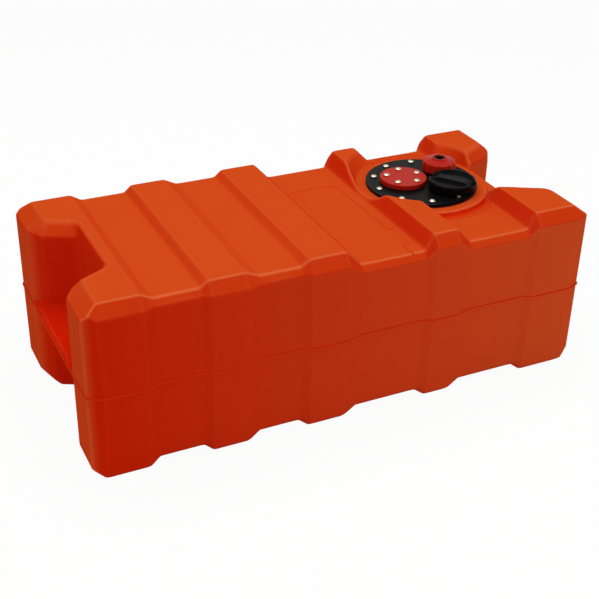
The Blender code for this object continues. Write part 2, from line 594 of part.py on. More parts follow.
def make_outlet(red, black, rubber, nylon, clear):
    """Fuel outlet: body, seal, slip washer, ring nut, dip tube and strainer."""
    stub_top = FLANGE_TOP + STUB_HEIGHT
    seal_base = stub_top + GAP
    add_object("outlet_seal", *turned([
        (STUB_BORE_RADIUS, seal_base), (OUTLET_SHOULDER_RADIUS, seal_base),
        (OUTLET_SHOULDER_RADIUS, seal_base + OUTLET_SEAL_THICKNESS),
        (STUB_BORE_RADIUS, seal_base + OUTLET_SEAL_THICKNESS)], MIDDLE_FACETS, OUTLET_XY),
        rubber, smooth=True)
    shoulder = seal_base + OUTLET_SEAL_THICKNESS + GAP
    shoulder_top = shoulder + OUTLET_SHOULDER_THICKNESS
    washer_base = shoulder_top + GAP
    rim_base = washer_base + SLIP_WASHER_THICKNESS + GAP
    rim_top = rim_base + NUT_RIM_THICKNESS
    collar_base = rim_top + NUT_CONE_RISE
    collar_top = collar_base + NUT_COLLAR_HEIGHT
    shank_foot = FLANGE_BASE - OUTLET_SHANK_DEPTH
    socket = DIP_TUBE_RADIUS + GAP
    tube_top = shank_foot + DIP_TUBE_SOCKET
    head_top = collar_top - NUT_EDGE_CHAMFER
    add_object("outlet_body", *turned([
        (socket, shank_foot), (OUTLET_BODY_SHANK_RADIUS, shank_foot),
        (OUTLET_BODY_SHANK_RADIUS, shoulder), (OUTLET_SHOULDER_RADIUS, shoulder),
        (OUTLET_SHOULDER_RADIUS, shoulder_top), (OUTLET_HEAD_RADIUS, shoulder_top),
        (OUTLET_HEAD_RADIUS, head_top), (OUTLET_BORE_RADIUS, head_top),
        (OUTLET_BORE_RADIUS, shoulder), (DIP_TUBE_RADIUS - DIP_TUBE_WALL, tube_top + GAP),
        (socket, tube_top + GAP)], MIDDLE_FACETS, OUTLET_XY), black, smooth=True)
    opening = OUTLET_HEAD_RADIUS + NUT_THREAD_CLEARANCE
    add_object("outlet_slip_washer", *turned([
        (opening, washer_base), (OUTLET_SHOULDER_RADIUS, washer_base),
        (OUTLET_SHOULDER_RADIUS, washer_base + SLIP_WASHER_THICKNESS),
        (opening, washer_base + SLIP_WASHER_THICKNESS)], MIDDLE_FACETS, OUTLET_XY),
        nylon, smooth=True)
    thread = STUB_RADIUS + NUT_THREAD_CLEARANCE
    nut = add_object("outlet_ring_nut", *turned([
        (opening, rim_base), (thread, rim_base), (thread, SKIRT_BASE),
        (NUT_RADIUS, SKIRT_BASE), (NUT_RADIUS, rim_top - NUT_EDGE_CHAMFER),
        (NUT_RADIUS - NUT_EDGE_CHAMFER, rim_top), (NUT_COLLAR_RADIUS, collar_base),
        (NUT_COLLAR_RADIUS, collar_top), (opening, collar_top)],
        NUT_RIB_COUNT * 4, OUTLET_XY), red, smooth=True)
    flute_radius = math.pi * NUT_RADIUS / NUT_RIB_COUNT / 2
    flutes = [rod(flute_radius, SKIRT_BASE - GAP, rim_top + NUT_CONE_RISE, TINY_FACETS, place)
              for place in ring_of_places(NUT_RIB_COUNT, NUT_RADIUS + flute_radius - NUT_RIB_DEPTH,
                                          0.0, OUTLET_XY)]
    combine(nut, merged(flutes), 'DIFFERENCE')

    floor = RECESS_FOOT_RISE + WALL
    strainer_base = floor + STRAINER_FLOOR_CLEARANCE
    strainer_top = strainer_base + STRAINER_HEIGHT
    tube_base = strainer_top - DIP_TUBE_SOCKET
    tube_bore = DIP_TUBE_RADIUS - DIP_TUBE_WALL
    add_object("dip_tube", *turned([
        (tube_bore, tube_base), (DIP_TUBE_RADIUS, tube_base), (DIP_TUBE_RADIUS, tube_top),
        (tube_bore, tube_top)], SMALL_FACETS, OUTLET_XY), clear, smooth=True)
    hollow = STRAINER_RADIUS - STRAINER_WALL
    screen_top = tube_base - SCREEN_THICKNESS
    strainer = add_object("strainer_cage", *turned([
        (0.0, strainer_base), (STRAINER_RADIUS, strainer_base),
        (STRAINER_RADIUS, strainer_top), (socket, strainer_top), (socket, screen_top),
        (hollow, screen_top), (hollow, strainer_base + STRAINER_WALL),
        (0.0, strainer_base + STRAINER_WALL)], SMALL_FACETS, OUTLET_XY), black)
    slots = []
    for x, y in ring_of_places(STRAINER_SLOT_COUNT, STRAINER_RADIUS, 0.0, OUTLET_XY):
        slots.append(rod(STRAINER_SLOT_WIDTH / 2, strainer_base + STRAINER_WALL * 2,
                         screen_top - STRAINER_WALL, TINY_FACETS, (x, y)))
    combine(strainer, merged(slots), 'DIFFERENCE')
    screen = hollow - GAP
    screen_base = strainer_base + STRAINER_WALL + GAP
    add_object("strainer_screen", *turned([
        (screen - SCREEN_THICKNESS, screen_base), (screen, screen_base),
        (screen, screen_top - GAP), (screen - SCREEN_THICKNESS, screen_top - GAP)],
        SMALL_FACETS, OUTLET_XY), nylon, smooth=True)


def make_model():
    clear_objects()
    orange = plastic("orange polyethylene", (0.64, 0.055, 0.008), 0.38)
    black = plastic("black moulded nylon", (0.008, 0.008, 0.008), 0.34)
    red = plastic("red moulded nylon", (0.46, 0.016, 0.010), 0.30)
    rubber = plastic("black nitrile rubber", (0.015, 0.015, 0.015), 0.70)
    steel = plastic("stainless steel", (0.62, 0.61, 0.59), 0.22, 1.0)
    brass = plastic("turned brass", (0.60, 0.42, 0.16), 0.30, 1.0)
    nylon = plastic("natural nylon", (0.72, 0.70, 0.62), 0.45)
    clear = plastic("milky polyethylene tube", (0.70, 0.70, 0.66), 0.35)
    make_tank(orange)
    make_flange_fixings(brass, steel, rubber)
    make_flange_plate(black)
    make_port_cover(red, rubber, brass, steel)
    make_filler_cap(black, rubber, nylon)
    make_outlet(red, black, rubber, nylon, clear)


make_model()
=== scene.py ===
import json
import math

import bmesh
import bpy
import numpy as np
from mathutils import Matrix


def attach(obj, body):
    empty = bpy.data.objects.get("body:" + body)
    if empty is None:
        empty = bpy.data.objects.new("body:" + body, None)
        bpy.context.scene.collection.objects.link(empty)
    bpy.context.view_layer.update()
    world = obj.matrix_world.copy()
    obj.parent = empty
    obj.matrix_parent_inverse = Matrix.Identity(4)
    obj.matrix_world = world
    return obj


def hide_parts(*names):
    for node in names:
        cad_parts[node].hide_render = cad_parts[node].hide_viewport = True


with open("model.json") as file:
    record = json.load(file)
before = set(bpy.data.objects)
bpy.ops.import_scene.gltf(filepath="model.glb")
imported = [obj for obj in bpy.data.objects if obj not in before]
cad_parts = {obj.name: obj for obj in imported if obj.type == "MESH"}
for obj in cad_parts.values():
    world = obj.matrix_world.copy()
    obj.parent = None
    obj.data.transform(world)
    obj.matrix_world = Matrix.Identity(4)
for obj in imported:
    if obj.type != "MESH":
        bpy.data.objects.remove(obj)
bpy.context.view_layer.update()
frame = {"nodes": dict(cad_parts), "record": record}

# Looks of a moulded plastic fuel tank with a bolted fittings flange.
# Lengths in the dictionaries are millimetres in the model's own frame: x along the
# tank, y across it, z up, from the centre of the footprint.

mm = 0.001
# Keeps a division off zero.
tiny = 1e-9


# Small tools for meshes

def makePiece(name, points, faces, body, material, replaced=(), smoothAngle=35.0):
    # Puts points (mm) and faces into a closed mesh object that rides on its body.
    mesh = bpy.data.meshes.new(name)
    mesh.from_pydata((np.asarray(points, float) * mm).tolist(), [], faces)
    shell = bmesh.new()
    shell.from_mesh(mesh)
    bmesh.ops.recalc_face_normals(shell, faces=shell.faces)
    shell.to_mesh(mesh)
    shell.free()
    mesh.shade_smooth()
    mesh.set_sharp_from_angle(angle=math.radians(smoothAngle))
    piece = bpy.data.objects.new(name, mesh)
    bpy.context.scene.collection.objects.link(piece)
    mesh.materials.append(material)
    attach(piece, body)
    if replaced:
        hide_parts(*replaced)


def roundedProfile(corners, steps=4):
    # Points along a closed section of (radius, height, rounding) corners, each rounded
    # corner a parabola between the two places where its sides begin to bend.
    points = []
    for n, (radius, height, rounding) in enumerate(corners):
        corner = np.array([radius, height])
        if not rounding:
            points.append(corner)
            continue
        ends = []
        for other in (corners[n - 1], corners[(n + 1) % len(corners)]):
            side = np.array(other[:2]) - corner
            ends.append(corner + side * min(0.5, rounding / np.linalg.norm(side)))
        t = np.linspace(0.0, 1.0, steps + 1)[:, None]
        points += list((1 - t) ** 2 * ends[0] + 2 * t * (1 - t) * corner + t * t * ends[1])
    return np.array(points)


def gridFaces(rows, columns, start=0, ring=False):
    # Quads over a grid whose columns close on themselves. With ring its rows do so
    # too, and otherwise its first and last row are filled by fans to two poles that
    # follow the grid's points.
    number = start + np.arange(rows * columns).reshape(rows, columns)
    low, high = (number, np.roll(number, -1, 0)) if ring else (number[:-1], number[1:])
    after, highAfter = np.roll(low, -1, 1), np.roll(high, -1, 1)
    faces = np.stack([low, after, highAfter, high], -1).reshape(-1, 4).tolist()
    if not ring:
        for row, pole in ((0, rows * columns), (-1, rows * columns + 1)):
            around = np.stack([number[row], np.roll(number[row], -1),
                               np.full(columns, start + pole)], -1)
            faces += around.tolist()
    return faces


def turn(profile, angles, centre):
    # Carries a section of (radius, height) rows round an upright axis.
    radius, height = profile[:, 0, None], profile[:, 1, None]
    return np.stack([centre[0] + radius * np.cos(angles), centre[1] + radius * np.sin(angles),
                     height + 0.0 * angles], -1)


def easeStep(value):
    # Zero below 0, one above 1, and a smooth cubic between them.
    share = np.clip(value, 0.0, 1.0)
    return share * share * (3.0 - 2.0 * share)


def joinMax(a, b, width):
    # The larger of two fields, with the crease between them rounded over width.
    gap = np.maximum(width - np.abs(a - b), 0.0)
    return np.maximum(a, b) + gap * gap / (4.0 * width)


def joinMin(a, b, width):
    return -joinMax(-a, -b, width)


def softRamp(distance, radius):
    # Zero before the corner and the distance after it, through a hyperbola.
    return 0.5 * (distance + np.sqrt(distance * distance + radius * radius))


def softRampSlope(distance, radius):
    return 0.5 * (1.0 + distance / np.sqrt(distance * distance + radius * radius))


# Tank

tankSpec = {
    "halfLength": 400.0, "halfWidth": 183.2, "height": 276.2, "parting": 138.0,
    "wall": 5.5, "lipProud": 1.5, "lipHalfHeight": 1.7, "lipDepth": 9.0, "lipReach": 6.0,
    "sideDraft": 2.2, "topChamfer": (15.8, 18.4), "footChamfer": 8.5, "recessChamfer": 9.2,
    "endChamfer": (24.0, 18.2), "endFootRise": 20.0, "cornerFacet": (24.0, 11.5),
    # each recess: band end, recess start, recess end, band start, depth
    "recesses": ((-315.0, -299.0, -231.0, -220.0, 10.0), (-166.0, -146.0, -82.0, -70.0, 10.0),
                 (-13.2, 11.0, 116.0, 128.4, 26.3), (168.0, 192.4, 295.2, 306.0, 26.3)),
    "recessSide": 7.8, "recessFoot": 7.5, "rampRadius": 1.8,
    # how much of a ramp's slope the top chamfer and the foot chamfer share
    "chamferSlopes": (0.5, 0.3),
    "gripMouth": 106.0, "gripMiddle": (17.0, 80.0), "gripBack": (65.0, 56.0),
    "gripChamfer": (17.0, 4.0, 18.4), "webHalf": 4.5, "saddleStart": 287.0,
    "seatCentre": (223.9, 33.4), "seatTop": 253.5, "seatRadius": 104.6, "seatDrop": 3.6,
    "seatLean": 0.8, "seatThickness": 17.5, "seatFromGrip": 1.0,
    "openingRadius": 68.3, "openingDepth": 60.0,
    "pocketRadius": 104.0, "pocketFlare": 3.0, "farLean": 27.0,
    # the dip round the seat: outer radius, width, depth, then where it starts and stops
    # along the tank, each with its run
    "moat": (126.0, 18.0, 3.2, 190.0, 8.0, 300.0, 8.0),
    # the inserts' holes: circle, first angle, count, radius, depth
    "insertCircle": (76.8, 0.5, 10, 4.6, 14.8),
    # the painted edge highlight: how much bends along the tank count, and the lip's reach and share
    "bendAlong": 0.25, "lipHighlight": (4.0, 0.3),
    "triangles": 186000,
}

# Widths over which the tank's creases are rounded. The corner and end ones are shares
# of the edge.
creaseSpec = {
    "edge": 1.5, "cornerShare": 2.0, "endShare": 1.4,
    "gripFlank": 3.0, "gripChamfer": 2.5, "webFoot": 16.0, "gripCorner": 9.0, "saddle": 3.0,
    "mouth": 5.0, "seatTop": 1.4, "seatUnder": 2.0, "seatCut": 4.0, "seatFoot": 1.6,
    "lipCorner": 2.0, "lipEnd": 3.0, "lipEdge": 1.0, "lipFoot": 1.2, "wall": 3.0,
}

# Where the tank's grid is fine and where coarse: a start, then stretches of (end, spacing).
gridSpec = {
    "x": (-402.5, (-374.0, 2.4), (-330.0, 3.4), (-321.0, 4.5), (-293.0, 2.6), (-236.0, 7.2),
          (-214.0, 2.6), (-171.0, 7.2), (-141.0, 2.6), (-87.0, 7.2), (-65.0, 2.6),
          (-19.0, 7.2), (16.0, 2.6), (94.0, 7.2), (119.0, 2.2), (329.0, 2.2),
          (376.0, 2.6), (402.5, 2.2)),
    "y": (-186.5, (-160.0, 2.2), (-112.0, 5.5), (-80.0, 2.8), (138.5, 2.6), (160.0, 4.5),
          (186.5, 2.2)),
    "z": (-2.5, (14.0, 2.2), (30.0, 3.2), (128.0, 9.0), (134.0, 2.0), (142.0, 0.8),
          (166.0, 3.0), (232.0, 8.0), (279.0, 2.2)),
}


def tankSection(x):
    # How far each place along the tank is sunk into a recess, from 0 on a band to 1 on
    # a recess floor, the top depth, and both slopes.
    radius = tankSpec["rampRadius"]
    share, shareSlope, depth, depthSlope = 0.0, 0.0, 0.0, 0.0
    for bandEnd, low, high, bandStart, deep in tankSpec["recesses"]:
        fall, rise = low - bandEnd, bandStart - high
        part = ((softRamp(x - bandEnd, radius) - softRamp(x - low, radius)) / fall
                - (softRamp(x - high, radius) - softRamp(x - bandStart, radius)) / rise)
        slope = ((softRampSlope(x - bandEnd, radius) - softRampSlope(x - low, radius)) / fall
                 - (softRampSlope(x - high, radius) - softRampSlope(x - bandStart, radius)) / rise)
        share, shareSlope = share + part, shareSlope + slope
        depth, depthSlope = depth + part * deep, depthSlope + slope * deep
    return share, shareSlope, depth, depthSlope


def moatDepth(x, y):
    # A shallow dip round the flange seat, in the last recess's floor only: deepest beside
    # the seat, and rising evenly to its outer radius.
    reach, width, deep, start, startRun, stop, stopRun = tankSpec["moat"]
    away = np.hypot(x - tankSpec["seatCentre"][0], y - tankSpec["seatCentre"][1])
    return (deep * np.clip((reach - away) / width, 0.0, 1.0) * easeStep((x - start) / startRun)
            * easeStep((stop - x) / stopRun))


def tankBody(x, y, z):
    # Signed distance of the banded body: the rounded intersection of its top, foot,
    # sides, ends, chamfers and corner facets.
    spec = tankSpec
    share, shareSlope, depth, depthSlope = tankSection(x)
    dip = moatDepth(x, y)
    across, end = np.abs(y), spec["halfLength"] - spec["lipProud"] - np.abs(x)
    edge = creaseSpec["edge"]
    topShare, footShare = spec["chamferSlopes"]
    side = spec["halfWidth"] - spec["lipProud"] - spec["recessSide"] * share
    lean = spec["sideDraft"] * np.abs(z - spec["parting"]) / spec["parting"]
    sideD = (across - side + lean) / np.sqrt(1.0 + (spec["recessSide"] * shareSlope) ** 2)
    top = spec["height"] - depth
    topD = (z - top + dip) / np.sqrt(1.0 + depthSlope ** 2)
    foot = spec["recessFoot"] * share
    footD = (foot - z) / np.sqrt(1.0 + (spec["recessFoot"] * shareSlope) ** 2)
    chamferIn = spec["topChamfer"][0] + (spec["recessChamfer"] - spec["topChamfer"][0]) * share
    chamferDown = spec["topChamfer"][1] + (spec["recessChamfer"] - spec["topChamfer"][1]) * share
    rim = side - spec["sideDraft"]
    chamferD = (((across - rim + chamferIn) * chamferDown + (z - top) * chamferIn)
                / np.sqrt(chamferIn ** 2 + chamferDown ** 2)
                / np.sqrt(1.0 + topShare * depthSlope ** 2))
    footChamferD = ((across - rim + spec["footChamfer"] + foot - z) * math.sqrt(0.5)
                    / np.sqrt(1.0 + footShare * (spec["recessFoot"] * shareSlope) ** 2))
    body = joinMax(joinMax(sideD, chamferD, edge), topD, edge)
    body = joinMax(joinMax(body, footChamferD, edge), footD, edge)
    run, drop = spec["endChamfer"]
    endTopD = ((z - spec["height"] + drop) * run - end * drop) / math.hypot(run, drop)
    rise = spec["endFootRise"]
    endFootD = ((rise - z) * run - end * rise) / math.hypot(run, rise)
    along, facet = spec["cornerFacet"]
    cornerD = (((across - spec["halfWidth"] + spec["lipProud"] + facet) * along - end * facet)
               / math.hypot(along, facet))
    ends = joinMax(joinMax(-end, cornerD, creaseSpec["cornerShare"] * edge),
                   joinMax(endTopD, endFootD, edge), creaseSpec["endShare"] * edge)
    return joinMax(body, ends, edge)


def gripSpace(x, y, z):
    # Signed distance of the hand grips: flanks that narrow to a straight back, from the
    # web upwards and from the web downwards, with a chamfer round the upper mouth. At the
    # fittings end the upper flanks run on, and the recess floor runs out between them.
    spec, crease = tankSpec, creaseSpec
    end, across = spec["halfLength"] - np.abs(x), np.abs(y)
    (midIn, midHalf), (backIn, backHalf) = spec["gripMiddle"], spec["gripBack"]
    slopeA, slopeB = (spec["gripMouth"] - midHalf) / midIn, (midHalf - backHalf) / (backIn - midIn)
    flank = joinMin((across - spec["gripMouth"] + slopeA * end) / math.hypot(1.0, slopeA),
                    (across - midHalf + slopeB * (end - midIn)) / math.hypot(1.0, slopeB),
                    crease["gripFlank"])
    back = end - backIn
    wider, deeper, down = spec["gripChamfer"]
    above = z - spec["height"] + down
    upperFlank = joinMin(flank, (flank - above * wider / down) * down / math.hypot(wider, down),
                         crease["gripChamfer"])
    upperBack = joinMin(back, (back - above * deeper / down) * down / math.hypot(deeper, down),
                        crease["gripChamfer"])
    webTop, webFoot = spec["parting"] + spec["webHalf"], spec["parting"] - spec["webHalf"]
    upper = joinMax(joinMax(upperBack, webTop - z, crease["webFoot"]), upperFlank,
                    crease["gripCorner"])
    lower = joinMax(joinMax(back, z - webFoot, crease["webFoot"]), flank, crease["gripCorner"])
    floor = spec["seatTop"] - spec["seatDrop"]
    saddle = joinMax(joinMax(upperFlank, floor - z, crease["saddle"]), spec["saddleStart"] - x,
                     crease["saddle"])
    return np.minimum(joinMin(upper, saddle, crease["saddle"]), lower)


def tankOuter(x, y, z):
    # The body less its grips and the pocket in its two right bands, with the flange seat
    # and the parting lip added.
    spec, crease = tankSpec, creaseSpec
    body = joinMax(tankBody(x, y, z), -gripSpace(x, y, z), crease["mouth"])
    away = np.hypot(x - spec["seatCentre"][0], y - spec["seatCentre"][1])
    above = z - spec["seatTop"]
    farSide = np.clip((y - spec["seatCentre"][1]) / np.maximum(away, 1.0), 0.0, 1.0)
    flare = (spec["pocketFlare"] + spec["farLean"] * farSide) / (spec["height"] - spec["seatTop"])
    pocket = joinMax((away - spec["pocketRadius"] - flare * above) / np.sqrt(1.0 + flare ** 2),
                     -above, crease["mouth"])
    body = joinMax(body, -pocket, crease["mouth"])
    lean = spec["seatLean"] * np.minimum(-above, 2.0 * spec["seatDrop"])
    side = (away - spec["seatRadius"] - lean) / math.hypot(1.0, spec["seatLean"])
    seat = joinMax(side, joinMax(above, -spec["openingDepth"] - above, crease["seatUnder"]),
                   crease["seatTop"])
    clear = spec["halfLength"] - spec["gripBack"][0] - spec["seatFromGrip"] - np.abs(x)
    seat = joinMax(seat, -clear, crease["seatCut"])
    body = joinMin(body, seat, crease["seatFoot"])
    lipD = np.abs(z - spec["parting"]) - spec["lipHalfHeight"]
    across, end = np.abs(y), spec["halfLength"] - np.abs(x)
    share, shareSlope = tankSection(x)[:2]
    along, facet = spec["cornerFacet"]
    plan = joinMax((across - spec["halfWidth"] + spec["recessSide"] * share)
                   / np.sqrt(1.0 + (spec["recessSide"] * shareSlope) ** 2),
                   ((across - spec["halfWidth"] + facet) * along - end * facet)
                   / math.hypot(along, facet), crease["lipCorner"])
    plan = joinMax(plan, -end, crease["lipEnd"])
    lip = joinMax(joinMax(plan, lipD, crease["lipEdge"]), -plan - spec["lipDepth"],
                  crease["lipEdge"])
    return joinMin(body, lip, crease["lipFoot"])


def tankField(x, y, z):
    # The outer form less the fuel space, the opening and the holes for the inserts.
    spec = tankSpec
    outer = tankOuter(x, y, z)
    away = np.hypot(x - spec["seatCentre"][0], y - spec["seatCentre"][1])
    above = z - spec["seatTop"]
    clear = joinMin(away - spec["seatRadius"] - spec["wall"], -above - spec["seatThickness"],
                    creaseSpec["wall"])
    lip = np.abs(z - spec["parting"]) < spec["lipReach"]
    grip = spec["halfLength"] - spec["gripBack"][0] - spec["wall"] - np.abs(x)
    inner = joinMax(outer + spec["wall"], -clear, creaseSpec["wall"])
    inner = np.where(lip & (np.abs(y) < spec["gripMouth"] + spec["wall"]),
                     np.maximum(inner, -grip), inner)
    hole = np.maximum(away - spec["openingRadius"], -spec["openingDepth"] - above)
    radius, first, count, holeRadius, holeDepth = spec["insertCircle"]
    shell = np.maximum(outer, -np.minimum(inner, hole))
    for number in range(count):
        angle = math.radians(first + 360.0 * number / count)
        spot = np.hypot(x - spec["seatCentre"][0] - radius * math.cos(angle),
                        y - spec["seatCentre"][1] - radius * math.sin(angle))
        shell = np.maximum(shell, -np.maximum(spot - holeRadius, -holeDepth - above))
    return shell


def gridLines(*stretches):
    # Coordinates from stretches of (end, spacing) after a first start value.
    lines = [stretches[0]]
    for end, spacing in stretches[1:]:
        count = max(1, int(round((end - lines[-1]) / spacing)))
        lines += list(np.linspace(lines[-1], end, count + 1)[1:])
    return np.array(lines)


def surfaceNet(field, xs, ys, zs, slab=24):
    # One point in each grid cell that the surface passes through, at the mean of its
    # edge crossings, and a quad for each grid edge that crosses the surface.
    values = np.concatenate([field(xs[low:low + slab, None, None], ys[None, :, None],
                                   zs[None, None, :]) for low in range(0, len(xs), slab)], 0)
    inside = values < 0.0
    corners = [(i, j, k) for i in (0, 1) for j in (0, 1) for k in (0, 1)]
    nx, ny, nz = (len(line) - 1 for line in (xs, ys, zs))
    total = sum(inside[i:i + nx, j:j + ny, k:k + nz].astype(np.int8) for i, j, k in corners)
    active = (total > 0) & (total < 8)
    ci, cj, ck = np.nonzero(active)
    number = np.full(active.shape, -1, np.int64)
    number[active] = np.arange(len(ci))
    place = np.zeros((len(ci), 3))
    hits = np.zeros(len(ci))
    lines = (xs, ys, zs)
    for a in corners:
        for axis in range(3):
            if a[axis]:
                continue
            b = tuple(1 if n == axis else a[n] for n in range(3))
            va = values[ci + a[0], cj + a[1], ck + a[2]]
            vb = values[ci + b[0], cj + b[1], ck + b[2]]
            cross = (va < 0.0) != (vb < 0.0)
            share = np.where(cross, va / np.where(cross, va - vb, 1.0), 0.0)
            for n, cells in enumerate((ci, cj, ck)):
                start, stop = lines[n][cells + a[n]], lines[n][cells + b[n]]
                place[:, n] += np.where(cross, start + share * (stop - start), 0.0)
            hits += cross
    place /= hits[:, None]
    quads = []
    for axis in range(3):
        low = [slice(None)] * 3
        high = [slice(None)] * 3
        low[axis], high[axis] = slice(0, -1), slice(1, None)
        first, second = inside[tuple(low)], inside[tuple(high)]
        cross = first != second
        others = [n for n in range(3) if n != axis]
        i, j, k = np.nonzero(cross)
        cells = [i, j, k]
        fine = np.ones(len(i), bool)
        for n in others:
            fine &= (cells[n] > 0) & (cells[n] < (nx, ny, nz)[n])
        cells = [c[fine] for c in cells]
        outward = first[tuple(c for c in cells)]
        ring = []
        for stepA, stepB in ((1, 1), (0, 1), (0, 0), (1, 0)):
            moved = list(cells)
            moved[others[0]] = cells[others[0]] - stepA
            moved[others[1]] = cells[others[1]] - stepB
            ring.append(number[tuple(moved)])
        ring = np.stack(ring, 1)
        flip = outward if axis != 1 else ~outward
        quads.append(np.where(flip[:, None], ring, ring[:, ::-1]))
    return place, np.concatenate(quads)


def fieldSlope(field, points, step=0.05):
    # The field's slope from differences over a small step along each axis.
    slope = np.zeros_like(points)
    for n in range(3):
        ahead, behind = points.copy(), points.copy()
        ahead[:, n] += step
        behind[:, n] -= step
        slope[:, n] = (field(*ahead.T) - field(*behind.T)) / (2.0 * step)
    return slope


def pullOnto(field, points, rounds=3, reach=1.5, flattest=0.09):
    # Newton steps along the field's slope bring points onto the surface.
    for _ in range(rounds):
        slope = fieldSlope(field, points)
        steep = np.maximum((slope ** 2).sum(1), flattest)
        step = -slope * (field(*points.T) / steep)[:, None]
        length = np.linalg.norm(step, axis=1)
        step *= np.minimum(1.0, reach / np.maximum(length, tiny))[:, None]
        points = points + step
    return points


def edgeBend(points, step=0.5, full=0.16):
    # How sharply the surface bends outwards: the field's second difference across the tank and a part
    # of the one along it, as a share of a full edge's. It masks the painted highlight along edges, so
    # bends across the tank count most, and the parting lip little.
    lipReach, lipShare = tankSpec["lipHighlight"]
    middle = tankField(*points.T)
    bend = np.zeros(len(points))
    for n, weight in ((0, tankSpec["bendAlong"]), (1, 1.0)):
        for way in (-step, step):
            moved = points.copy()
            moved[:, n] += way
            bend += weight * (tankField(*moved.T) - middle)
    bend = np.clip(bend / step ** 2 / full, 0.0, 1.0)
    return bend * np.where(np.abs(points[:, 2] - tankSpec["parting"]) < lipReach, lipShare, 1.0)


def makeTank(material):
    # The tank as one net over its distance field, thinned to its triangle count, with the field's own
    # normals and two attributes that its material reads: where to paint a highlight along edges, and
    # where to paint shade in the dip round the seat.
    xs, ys, zs = (gridLines(*gridSpec[axis]) for axis in "xyz")
    points, quads = surfaceNet(tankField, xs, ys, zs)
    points = pullOnto(tankField, points)
    mesh = bpy.data.meshes.new("tankBody")
    mesh.from_pydata((points * mm).tolist(), [], quads.tolist())
    tank = bpy.data.objects.new("tankBody", mesh)
    bpy.context.scene.collection.objects.link(tank)
    bpy.context.view_layer.update()
    thin = tank.modifiers.new("Thin", "DECIMATE")
    thin.ratio = min(1.0, tankSpec["triangles"] / (2.0 * len(quads)))
    thin.use_collapse_triangulate = True
    evaluated = tank.evaluated_get(bpy.context.evaluated_depsgraph_get())
    final = bpy.data.meshes.new_from_object(evaluated)
    tank.modifiers.clear()
    tank.data = final
    final.name = "tankBody"
    places = np.zeros(len(final.vertices) * 3, np.float32)
    final.vertices.foreach_get("co", places)
    spots = places.reshape(-1, 3).astype(float) / mm
    normals = fieldSlope(tankField, spots)
    normals /= np.maximum(np.linalg.norm(normals, axis=1), tiny)[:, None]
    # the dip's depth below the seat marks where shade is painted
    belowSeat = spots[:, 2] < tankSpec["seatTop"] - creaseSpec["seatTop"] / 2.0
    paintedDipShade = moatDepth(spots[:, 0], spots[:, 1]) / tankSpec["moat"][2] * belowSeat
    for name, values in (("edgeBend", edgeBend(spots)), ("paintedDipShade", paintedDipShade)):
        final.attributes.new(name, "FLOAT", "POINT").data.foreach_set(
            "value", values.astype(np.float32))
    final.shade_smooth()
    final.normals_split_custom_set_from_vertices(normals.tolist())
    final.materials.clear()
    final.materials.append(material)
    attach(tank, "root")
    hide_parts("tank_shell")
    print("tank:", len(quads), "quads,", len(final.polygons), "triangles kept")


# Materials

def toLinear(hexColour):
    # sRGB hex to linear light.
    parts = [int(hexColour[n:n + 2], 16) / 255.0 for n in (1, 3, 5)]
    light = [p / 12.92 if p <= 0.04045 else ((p + 0.055) / 1.055) ** 2.4 for p in parts]
    return (*light, 1.0)


def addNode(tree, kind, settings=(), inputs=(), links=()):
    # One node with its settings, its input values and its links.
    node = tree.nodes.new(kind)
    for key, value in dict(settings).items():
        setattr(node, key, value)
    for key, value in dict(inputs).items():
        node.inputs[key].default_value = value
    for source, socket, target in links:
        tree.links.new(source.outputs[socket], node.inputs[target])
    return node


def newMaterial(name, colour, roughness, metallic=0.0, ior=1.5):
    # A plain shader to start from. A metal keeps the default index of refraction.
    material = bpy.data.materials.new(name)
    material.use_nodes = True
    tree = material.node_tree
    shader = tree.nodes["Principled BSDF"]
    shader.inputs["Base Color"].default_value = toLinear(colour)
    shader.inputs["Roughness"].default_value = roughness
    shader.inputs["Metallic"].default_value = metallic
    if not metallic:
        shader.inputs["IOR"].default_value = ior
    return material, tree, shader


# How the grain spreads the gloss: less and more roughness than the finish's own.
glossSpread = (0.04, 0.06)


def addGrain(tree, shader, place, roughness, grainSize, grainDepth):
    # A fine grain (size and depth in metres) that lifts the skin and varies its gloss.
    grain = addNode(tree, "ShaderNodeTexNoise", inputs={"Scale": 1.0 / grainSize, "Detail": 2.0},
                    links=[(place, "Object", "Vector")])
    rough = addNode(tree, "ShaderNodeMapRange", inputs={"To Min": roughness - glossSpread[0],
                                                        "To Max": roughness + glossSpread[1]},
                    links=[(grain, "Fac", "Value")])
    tree.links.new(rough.outputs["Result"], shader.inputs["Roughness"])
    bump = addNode(tree, "ShaderNodeBump", inputs={"Strength": 1.0, "Distance": grainDepth},
                   links=[(grain, "Fac", "Height")])
    tree.links.new(bump.outputs["Normal"], shader.inputs["Normal"])


def grainedFinish(name, colour, paler, roughness, grainSize, grainDepth, shine=0.5, metallic=0.0):
    # A moulded or machined skin: slow clouds of slightly uneven colour, 70 mm across,
    # under the fine grain. Real grain is finer than this, too fine to show.
    material, tree, shader = newMaterial(name, colour, roughness, metallic, ior=1.53)
    shader.inputs["Specular IOR Level"].default_value = shine
    place = addNode(tree, "ShaderNodeTexCoord")
    cloud = addNode(tree, "ShaderNodeTexNoise", inputs={"Scale": 14.0, "Detail": 2.0},
                    links=[(place, "Object", "Vector")])
    mixColour = addNode(tree, "ShaderNodeMix", {"data_type": "RGBA"},
                        {6: toLinear(colour), 7: toLinear(paler)}, [(cloud, "Fac", 0)])
    tree.links.new(mixColour.outputs[2], shader.inputs["Base Color"])
    addGrain(tree, shader, place, roughness, grainSize, grainDepth)
    return material
